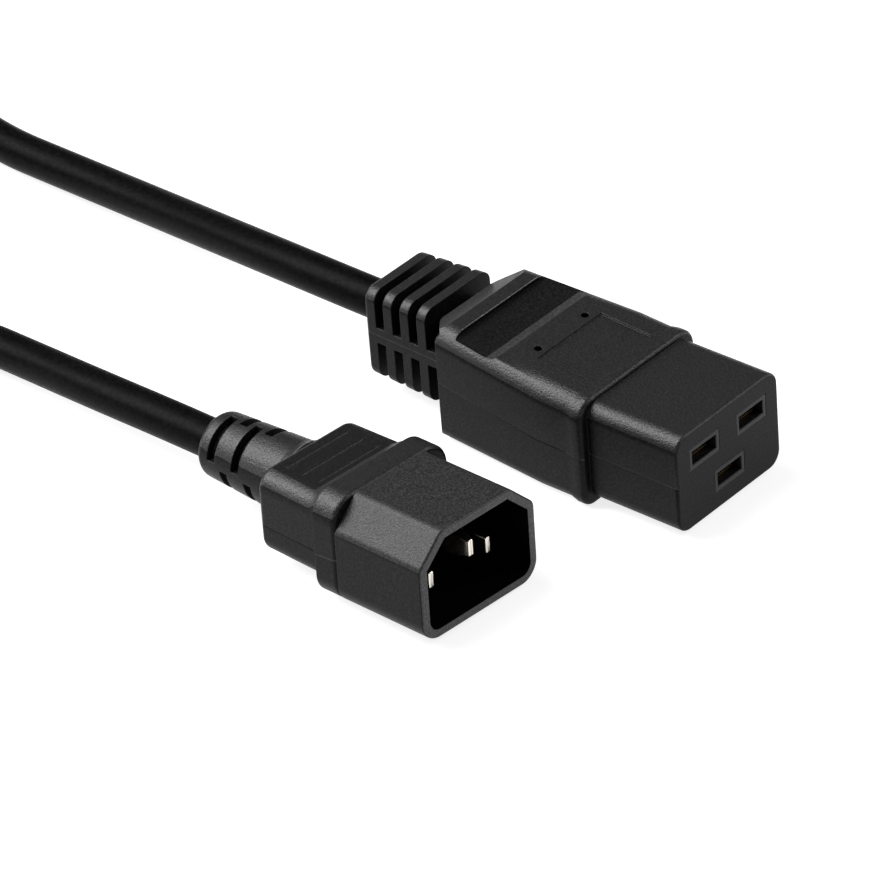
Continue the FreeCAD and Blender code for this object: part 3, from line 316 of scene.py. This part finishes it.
def make_piece(form, name, node_names, finishes):
    """Turns a form in the row's frame into a piece that stands for some CAD nodes."""
    bmesh.ops.scale(form, vec=(MM, MM, MM), verts=form.verts)
    for face in form.faces:
        face.smooth = True
    mesh = bpy.data.meshes.new(name)
    form.to_mesh(mesh)
    form.free()
    mesh.set_sharp_from_angle(angle=math.radians(SMOOTH_ANGLE))
    for finish in finishes:
        mesh.materials.append(finish)
    piece = bpy.data.objects.new(name, mesh)
    bpy.context.scene.collection.objects.link(piece)
    shading = piece.modifiers.new("even_shading", "WEIGHTED_NORMAL")
    shading.keep_sharp = True
    shading.weight = 50
    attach(piece, "root")
    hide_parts(*node_names)
    return piece


def give_finishes(form, finishes, pick):
    """Gives each face of a form the finish that pick names for it."""
    for face in form.faces:
        face.material_index = finishes.index(pick(face))


def round_off(form, edges, radius, segments):
    bmesh.ops.bevel(form, geom=edges, affect="EDGES", offset=radius, offset_type="OFFSET",
                    segments=segments, profile=0.5, material=-1, clamp_overlap=True)


def sharp_edges(form, test, least=50.0):
    """The outward edges that pass a test and turn by more than some degrees."""
    return [edge for edge in form.edges
            if edge.is_convex and len(edge.link_faces) == 2
            and edge.calc_face_angle(0) > math.radians(least) and test(edge)]


def everything_in(form):
    return list(form.verts) + list(form.edges) + list(form.faces)


def cut_corners_in(cut):
    """The vertices that a cut has made or passed through."""
    return [item for item in cut["geom_cut"] if isinstance(item, bmesh.types.BMVert)]


def score_sides(form, front, rear, front_height, rear_height, inside):
    """A fine V-shaped parting line along both sides, between two distances behind the face.

    It cuts only faces that lie wholly further out than inside from the middle plane.
    """
    slope = Vector((rear_height - front_height, 0, rear - front)).normalized()
    spot = Vector((-front, 0, front_height))
    for shift in (PARTING_HALF_WIDTH, -PARTING_HALF_WIDTH, 0):
        faces = [face for face in form.faces
                 if -rear - 0.01 < face.calc_center_median().x < -front + 0.01
                 and abs(face.normal.y) > 0.3 and all(abs(vert.co.y) > inside for vert in face.verts)]
        corners = {vert for face in faces for vert in face.verts}
        outlines = {edge for face in faces for edge in face.edges}
        cut = bmesh.ops.bisect_plane(form, geom=list(corners) + list(outlines) + faces, dist=0.001,
                                     plane_co=spot + slope * shift, plane_no=slope)
    for vert in cut_corners_in(cut):
        vert.co.y -= math.copysign(PARTING_DEPTH, vert.co.y)


# Socket moulding and contact carrier, in the socket's own frame: x = 0 at its face, z = 0 midway
# between its slots
SOCKET_SPOT = Vector((37.5, 0, 11.025))
SLOTS = [(-6.5, 4.0), (6.5, 4.0), (0.0, -4.0)]
SLEEVE_REACH = (4.15, 2.3)  # from a slot's middle to beyond its sleeve, aside and up
SLEEVE_EDGE = 0.09
SOCKET_PARTING = [
    (0, 19.5, 0.03, 0.03, 13.5),      # nose
    (19.5, 30.2, -0.5, -0.4, 13.5),   # straight stretch of the shell
    (30.2, 54.2, -0.4, 1.5, 12.5),    # narrowing stretch of the shell
    (60.3, 75.0, 2.05, 2.05, 7.9),    # spine of the strain relief
]
SHELL_REAR = 58.3
REAR_HALF_FLAT = 5.19
REAR_ROUND = 5.0
TAPER_START = 8.38
TAPER_BEHIND = 57.15
TAPER_SLOPE = 0.83
SHOULDER_FRONT = 53.2
SHOULDER_LENGTH = 5.1
SHOULDER_TOP = 12.3
SHOULDER_DROP = 2.4
RELIEF_MIDDLE = 2.0
RELIEF_FRONT = 60.2
FIN_EDGE = 0.4
RECESS_REAR_EDGE = 0.3
RAMP_EASE = 1.2
CORNER_FILL = 1.2


def into_socket(form):
    bmesh.ops.translate(form, vec=-SOCKET_SPOT, verts=form.verts)


def out_of_socket(form):
    bmesh.ops.translate(form, vec=SOCKET_SPOT, verts=form.verts)


def shell_rear(aside):
    """How far behind the face the shell's rear lies, at a distance from its middle plane."""
    if aside < TAPER_START:
        past_flat = max(aside - REAR_HALF_FLAT, 0.0)
        return SHELL_REAR - REAR_ROUND + math.sqrt(REAR_ROUND ** 2 - past_flat ** 2)
    return TAPER_BEHIND - TAPER_SLOPE * (aside - TAPER_START)


def tuck_relief_root(form):
    """Draws the strain relief's root in under the shell, so that its first groove starts there."""
    for vert in form.verts:
        behind, aside = -vert.co.x, abs(vert.co.y)
        if 56.0 < behind < 58.35 and 5.3 < aside < 9.2 and behind > shell_rear(aside) + 0.01:
            behind = shell_rear(aside) - 0.02
            vert.co.x = -behind
        if 53.5 < behind < 58.4:
            shoulder = SHOULDER_TOP - SHOULDER_DROP * (behind - SHOULDER_FRONT) / SHOULDER_LENGTH
            if vert.co.z > shoulder + 0.01:
                vert.co.z = shoulder - 0.02
    form.normal_update()


def ease_ramp(form):
    """Draws the foot of the thumb recess's ramp back, which makes the ramp gentler."""
    for vert in form.verts:
        if -41.6 < vert.co.x < -41.4 and vert.co.z > 10.5 and abs(vert.co.y) < 15:
            vert.co.x -= RAMP_EASE
    form.normal_update()


def fill_rear_corners(form):
    """Draws the shell's rear corners back below the shoulder, where they stand fuller."""
    for vert in form.verts:
        if -53.6 < vert.co.x < -51.5 and abs(vert.co.y) > 11.5:
            vert.co.x -= CORNER_FILL * smooth_step((12.0 - vert.co.z) / 2.5)
    form.normal_update()


def is_fin_edge(edge):
    """Whether an edge lies on the outside of the strain relief's fins."""
    return (all(vert.co.x < -RELIEF_FRONT for vert in edge.verts)
            and max(abs(vert.co.y) for vert in edge.verts) > 4.4
            and max(abs(vert.co.z - RELIEF_MIDDLE) for vert in edge.verts) < 9.5)


def is_recess_rear_edge(edge):
    """Whether an edge is the top of the thumb recess's rear wall."""
    return all(-50.4 < vert.co.x < -50.2 and vert.co.z > 11.3 for vert in edge.verts)


def is_sleeve_edge(edge):
    """Whether an edge lies on the face along the outline of one of the sleeves round the slots."""
    across, up = SLEEVE_REACH
    return any(all(vert.co.x > -0.05 and abs(vert.co.y - y) < across and abs(vert.co.z - z) < up
                   for vert in edge.verts) for y, z in SLOTS)


def socket_finish(face):
    middle, normal = face.calc_center_median(), face.normal
    faces_up_and_back = normal.x < -0.2 and normal.z > 0.5
    on_ramp = -42.7 < middle.x < -40.0
    on_shoulder = -58.4 < middle.x < -SHOULDER_FRONT and middle.z > 9
    on_recess_edge = (-50.7 < middle.x < -49.9 and 11.0 < middle.z < 12.25 and abs(middle.y) < 12
                      and 0.2 < normal.x < 0.95 and normal.z > 0.2)
    on_recess_floor = -50.3 < middle.x < -42.0 and middle.z > 10.9 and len(face.verts) > 8
    # painted highlight along the top of the recess's rear wall
    if on_recess_edge:
        return EDGE_PAINTED_HIGHLIGHT
    # painted reflection: faces that look up and back on the ramp and shoulder get the lighter finish
    if faces_up_and_back and (on_ramp or on_shoulder):
        return SHOULDER_PAINTED_REFLECTION
    if normal.z < 0.3 or on_recess_floor:
        return SIDE
    return FINISHES["moulded_pvc"]


def make_socket_moulding():
    form = joined_form("socket_overmould")
    into_socket(form)
    tuck_relief_root(form)
    ease_ramp(form)
    fill_rear_corners(form)
    for line in SOCKET_PARTING:
        score_sides(form, *line)
    round_off(form, sharp_edges(form, is_fin_edge), FIN_EDGE, 3)
    round_off(form, sharp_edges(form, is_sleeve_edge), SLEEVE_EDGE, 1)
    round_off(form, sharp_edges(form, is_recess_rear_edge), RECESS_REAR_EDGE, 3)
    finishes = [FINISHES["moulded_pvc"], SIDE, SHOULDER_PAINTED_REFLECTION, EDGE_PAINTED_HIGHLIGHT]
    give_finishes(form, finishes, socket_finish)
    out_of_socket(form)
    return make_piece(form, "socket_moulding", ["socket_overmould"], finishes)


def make_contact_carrier():
    form = joined_form("socket_contact_carrier")
    into_socket(form)
    round_off(form, sharp_edges(form, is_sleeve_edge), SLEEVE_EDGE, 1)
    out_of_socket(form)
    return make_piece(form, "contact_carrier", ["socket_contact_carrier"],
                      [FINISHES["carrier_plastic"]])


# Plug moulding, shroud and blades, in the plug's own frame: x = 0 at the shroud's rim
PLUG_PARTING = [
    (19.9, 25.0, -1.0, -1.4, 13.5),   # flange
    (25.0, 40.4, -2.3, -2.3, 11.5),   # grip
]
GRIP_SPAN = (-40.6, -24.9)
GRIP_LINE_TOP = 7.93
ROOT_FILLET = [(-40.2, 6.9), (-40.2, 7.85), (-40.5, 7.7), (-40.95, 7.45), (-41.5, 7.27),
               (-42.1, 7.1), (-42.1, 6.9)]  # outline of the fillet: along the axis, and from it
BLADE_THICKNESS = 2.0
BLADE_BREADTH = 4.0
BLADE_ROOT = 35.0
BLADE_TAPER = 2.2
BLADE_TIP_SHARES = (0.55, 0.76)
BLADE_EDGE = 0.22
SEAM_HALF_WIDTH = 0.07
SEAM_DEPTH = 0.15
BLADES = {"line": (4.5, -7.0, -2.15), "neutral": (4.5, 7.0, -2.15), "earth": (1.65, 0.0, 1.85)}


def into_plug(form):
    bmesh.ops.translate(form, vec=-PLUG_SPOT, verts=form.verts)
    bmesh.ops.transform(form, matrix=PLUG_TURN.inverted(), verts=form.verts)


def out_of_plug(form):
    bmesh.ops.transform(form, matrix=PLUG_TURN, verts=form.verts)
    bmesh.ops.translate(form, vec=PLUG_SPOT, verts=form.verts)


def add_root_fillet(form):
    """A small fillet ring where the round strain relief leaves the grip."""
    corners = [form.verts.new((x, 0, radius)) for x, radius in ROOT_FILLET]
    outline = [form.edges.new((corners[place - 1], corners[place])) for place in range(len(corners))]
    before = set(form.faces)
    bmesh.ops.spin(form, geom=corners + outline, cent=(0, 0, 0), axis=(1, 0, 0), angle=2 * math.pi,
                   steps=72, use_merge=True)
    bmesh.ops.recalc_face_normals(form, faces=[face for face in form.faces if face not in before])


def plug_finish(face):
    middle, normal = face.calc_center_median(), face.normal
    rear, front = GRIP_SPAN
    on_grip_top = rear < middle.x < front and middle.z > 7.0
    # painted highlight on the walls of the grip's fine lines
    if on_grip_top and abs(middle.y) < 9 and middle.z < GRIP_LINE_TOP and abs(normal.x) > 0.4:
        return EDGE_PAINTED_HIGHLIGHT
    if on_grip_top and normal.z > 0.98:
        return GRIP_TOP
    if normal.z < 0.35:
        return SIDE
    return FINISHES["moulded_pvc"]


def make_plug_moulding():
    form = joined_form("plug_overmould")
    into_plug(form)
    add_root_fillet(form)
    for line in PLUG_PARTING:
        score_sides(form, *line)
    finishes = [FINISHES["moulded_pvc"], SIDE, GRIP_TOP, EDGE_PAINTED_HIGHLIGHT]
    give_finishes(form, finishes, plug_finish)
    out_of_plug(form)
    return make_piece(form, "plug_moulding", ["plug_overmould"], finishes)


def shroud_finish(face):
    middle, normal = face.calc_center_median(), face.normal
    # painted highlight on the rim's front faces
    if normal.x > 0.6 and middle.x > -0.7:
        return SHROUD_RIM_PAINTED_HIGHLIGHT
    faces_the_axis = middle.y * normal.y + middle.z * normal.z < -0.5
    # painted shade on faces inside the shroud's opening
    if faces_the_axis or normal.x > 0.6:
        return SHROUD_INSIDE_PAINTED_SHADE
    # painted light: sides keep the darker tone, and faces that look up fall through to the lighter
    # shroud finish
    if normal.z < 0.3:
        return SHROUD_SIDE
    return FINISHES["shroud_plastic"]


def make_plug_shroud():
    form = joined_form("plug_shroud")
    into_plug(form)
    finishes = [FINISHES["shroud_plastic"], SHROUD_SIDE, SHROUD_INSIDE_PAINTED_SHADE, SHROUD_RIM_PAINTED_HIGHLIGHT]
    give_finishes(form, finishes, shroud_finish)
    out_of_plug(form)
    return make_piece(form, "plug_shroud_shell", ["plug_shroud"], finishes)


def make_blade(name, tip, across, height):
    """A blade of folded sheet, tapered towards its tip, with the fold's seam down its end."""
    form = bmesh.new()
    bmesh.ops.create_cube(form, size=1)
    length = BLADE_ROOT - tip
    bmesh.ops.scale(form, vec=(length, BLADE_THICKNESS, BLADE_BREADTH), verts=form.verts)
    bmesh.ops.translate(form, vec=(-tip - length / 2, across, height), verts=form.verts)
    bmesh.ops.bisect_plane(form, geom=everything_in(form), dist=0.001,
                           plane_co=(-tip - BLADE_TAPER, 0, 0), plane_no=(1, 0, 0))
    thickness_left, breadth_left = BLADE_TIP_SHARES
    for vert in form.verts:
        if vert.co.x > -tip - 0.01:
            vert.co.y = across + thickness_left * (vert.co.y - across)
            vert.co.z = height + breadth_left * (vert.co.z - height)
    tip_edges = sharp_edges(form, lambda edge: any(vert.co.x > -tip - 0.01 for vert in edge.verts), 25)
    round_off(form, tip_edges, BLADE_EDGE, 3)
    for shift in (SEAM_HALF_WIDTH, -SEAM_HALF_WIDTH, 0):
        cut = bmesh.ops.bisect_plane(form, geom=everything_in(form), dist=0.001,
                                     plane_co=(0, across + shift, 0), plane_no=(0, 1, 0))
    for vert in cut_corners_in(cut):
        if vert.co.x > -tip - 0.3:
            vert.co.x -= SEAM_DEPTH
    out_of_plug(form)
    return make_piece(form, "blade_" + name, ["plug_blade_" + name], [FINISHES["nickel"]])


# Straps round the coil, in the coil's frame turned so that the strap lies along x
STRAP_ANGLES = {"near": 10, "far": 190}
STRAP_EDGE = 0.2
LAP_SIZE = (13.0, 9.6, 0.9)
LAP_SPOT = (39.0, 0, 17.25)
LAP_CORNER = 2.4
LAP_RIM_HEIGHT = 17.6
LAP_EDGE = 0.25


def turn_about_coil(form, angle):
    bmesh.ops.rotate(form, cent=(0, 0, 0), matrix=Matrix.Rotation(math.radians(angle), 3, "Z"),
                     verts=form.verts)


def make_coil_strap(name, angle):
    """A soft strap round the coil's turns: the band, and its end laid over on top."""
    form = joined_form("coil_tie_" + name)
    bmesh.ops.translate(form, vec=(-COIL_CENTRE[0], -COIL_CENTRE[1], 0), verts=form.verts)
    turn_about_coil(form, -angle)
    round_off(form, sharp_edges(form, lambda edge: True), STRAP_EDGE, 2)
    lap = bmesh.ops.create_cube(form, size=1)["verts"]
    bmesh.ops.scale(form, vec=LAP_SIZE, verts=lap)
    bmesh.ops.translate(form, vec=LAP_SPOT, verts=lap)
    lap_edges = {edge for vert in lap for edge in vert.link_edges}
    upright = [edge for edge in lap_edges if abs(edge.verts[0].co.z - edge.verts[1].co.z) > 0.5]
    bmesh.ops.bevel(form, geom=upright, affect="EDGES", offset=LAP_CORNER, offset_type="OFFSET",
                    segments=5, profile=0.5, material=-1)
    rim = [edge for edge in form.edges if all(vert.co.z > LAP_RIM_HEIGHT for vert in edge.verts)]
    round_off(form, rim, LAP_EDGE, 2)
    turn_about_coil(form, angle)
    bmesh.ops.translate(form, vec=(COIL_CENTRE[0], COIL_CENTRE[1], 0), verts=form.verts)
    return make_piece(form, "coil_strap_" + name, ["coil_tie_" + name], [FINISHES["tie"]])


make_socket_moulding()
make_contact_carrier()
plug_moulding = make_plug_moulding()
plug_shroud_shell = make_plug_shroud()
blades = [make_blade(name, *place) for name, place in BLADES.items()]
ties = [make_coil_strap(name, angle) for name, angle in STRAP_ANGLES.items()]

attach(cord, "root")
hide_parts("cord_socket_lead", "cord_coil", "cord_plug_lead")

# Floor, lamps and world
FLOOR_HALF_SIZE = 6
FLOOR_GREY = 0.5
FLOOR_GLOW = 0.8
WORLD_STRENGTH = 0.18


def floor_material():
    """White to the camera and in reflections, with the object's shadow, and grey to other light."""
    material = bpy.data.materials.new("floor_white")
    material.use_nodes = True
    nodes, links = material.node_tree.nodes, material.node_tree.links
    nodes.clear()
    paint = nodes.new("ShaderNodeBsdfDiffuse")
    paint.inputs["Color"].default_value = (FLOOR_GREY, FLOOR_GREY, FLOOR_GREY, 1)
    glow = nodes.new("ShaderNodeEmission")
    glow.inputs["Strength"].default_value = FLOOR_GLOW
    glowing_paint = nodes.new("ShaderNodeAddShader")
    links.new(paint.outputs[0], glowing_paint.inputs[0])
    links.new(glow.outputs[0], glowing_paint.inputs[1])
    ray = nodes.new("ShaderNodeLightPath")
    camera_or_glossy, seen = nodes.new("ShaderNodeMath"), nodes.new("ShaderNodeMath")
    camera_or_glossy.operation = seen.operation = "MAXIMUM"
    links.new(ray.outputs["Is Camera Ray"], camera_or_glossy.inputs[0])
    links.new(ray.outputs["Is Glossy Ray"], camera_or_glossy.inputs[1])
    links.new(camera_or_glossy.outputs[0], seen.inputs[0])
    links.new(ray.outputs["Is Transmission Ray"], seen.inputs[1])
    pick = nodes.new("ShaderNodeMixShader")
    links.new(seen.outputs[0], pick.inputs["Fac"])
    links.new(paint.outputs[0], pick.inputs[1])
    links.new(glowing_paint.outputs[0], pick.inputs[2])
    out = nodes.new("ShaderNodeOutputMaterial")
    links.new(pick.outputs[0], out.inputs["Surface"])
    return material


def make_floor():
    mesh = bpy.data.meshes.new("floor")
    form = bmesh.new()
    bmesh.ops.create_grid(form, x_segments=1, y_segments=1, size=FLOOR_HALF_SIZE)
    form.to_mesh(mesh)
    form.free()
    floor = bpy.data.objects.new("floor", mesh)
    bpy.context.scene.collection.objects.link(floor)
    mesh.materials.append(floor_material())


def add_area_lamp(name, spot, size, power):
    """A soft rectangular lamp that points at the frame's origin."""
    data = bpy.data.lights.new(name, "AREA")
    data.shape = "RECTANGLE"
    data.size, data.size_y = size
    data.energy = power
    lamp = bpy.data.objects.new(name, data)
    bpy.context.scene.collection.objects.link(lamp)
    lamp.location = spot
    lamp.rotation_euler = (-Vector(spot)).to_track_quat("-Z", "Y").to_euler()


make_floor()
add_area_lamp("key_softbox", (-0.63, -0.34, 0.84), (0.6, 1.3), 20)
add_area_lamp("fill_softbox", (0.62, 0.7, 0.66), (0.5, 0.5), 3.5)
world = bpy.data.worlds.new("World")
bpy.context.scene.world = world
world.use_nodes = True
world.node_tree.nodes["Background"].inputs["Color"].default_value = (1, 1, 1, 1)
world.node_tree.nodes["Background"].inputs["Strength"].default_value = WORLD_STRENGTH
bpy.context.scene.view_settings.view_transform = "Standard"
